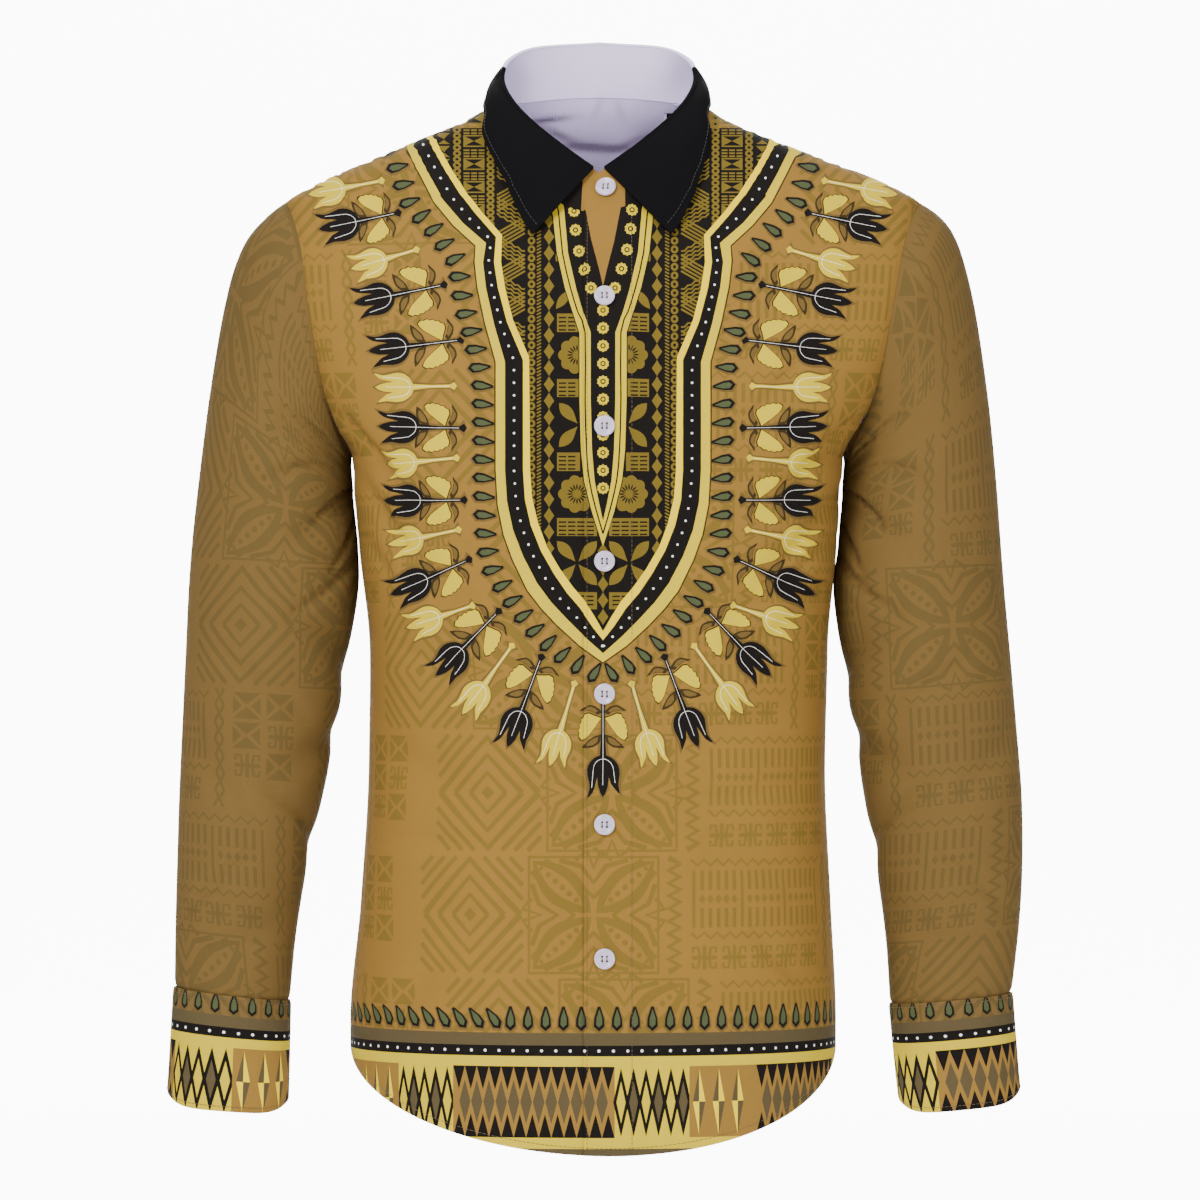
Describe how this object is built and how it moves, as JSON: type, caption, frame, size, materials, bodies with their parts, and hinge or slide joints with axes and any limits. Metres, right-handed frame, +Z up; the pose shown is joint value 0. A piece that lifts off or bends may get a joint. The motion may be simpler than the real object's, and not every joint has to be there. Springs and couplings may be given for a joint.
{
  "type": "long-sleeved button-front dashiki shirt",
  "caption": "Long-sleeved dashiki shirt, filled out as worn: lapped fronts, a back, set-in sleeves, barrel cuffs, fold-down collar, button front and shirt-tail hem.",
  "frame": {"origin": "on the centre line between the shoulders, at the height of the side of the neck, where the wearer's shoulders hold the shirt", "axes": "+Z up the body, -Y out of the front, +X to the wearer's left"},
  "size_m": [0.6229, 0.2633, 0.8051],
  "materials": {
    "body_cloth": "printed woven cloth, tan gold, pale lilac on its unprinted inside",
    "sleeve_cloth": "printed woven cloth, darker tan gold",
    "cuff_cloth": "printed woven cloth with a black, gold and taupe border",
    "collar_cloth": "plain black woven cloth",
    "label_cloth": "plain black tape",
    "pearl": "pearly lilac white"
  },
  "bodies": {
    "root": {"front_left": "body_cloth", "front_right": "body_cloth", "back": "body_cloth", "collar_stand": "body_cloth", "sleeve_left": "sleeve_cloth", "sleeve_right": "sleeve_cloth", "cuff_left": "cuff_cloth", "cuff_right": "cuff_cloth", "collar_leaf": "collar_cloth", "neck_label": "label_cloth", "button_stand": "pearl", "button_front_1": "pearl", "button_front_2": "pearl", "button_front_3": "pearl", "button_front_4": "pearl", "button_front_5": "pearl", "button_front_6": "pearl", "button_cuff_left": "pearl", "button_cuff_right": "pearl"}
  },
  "joints": []
}
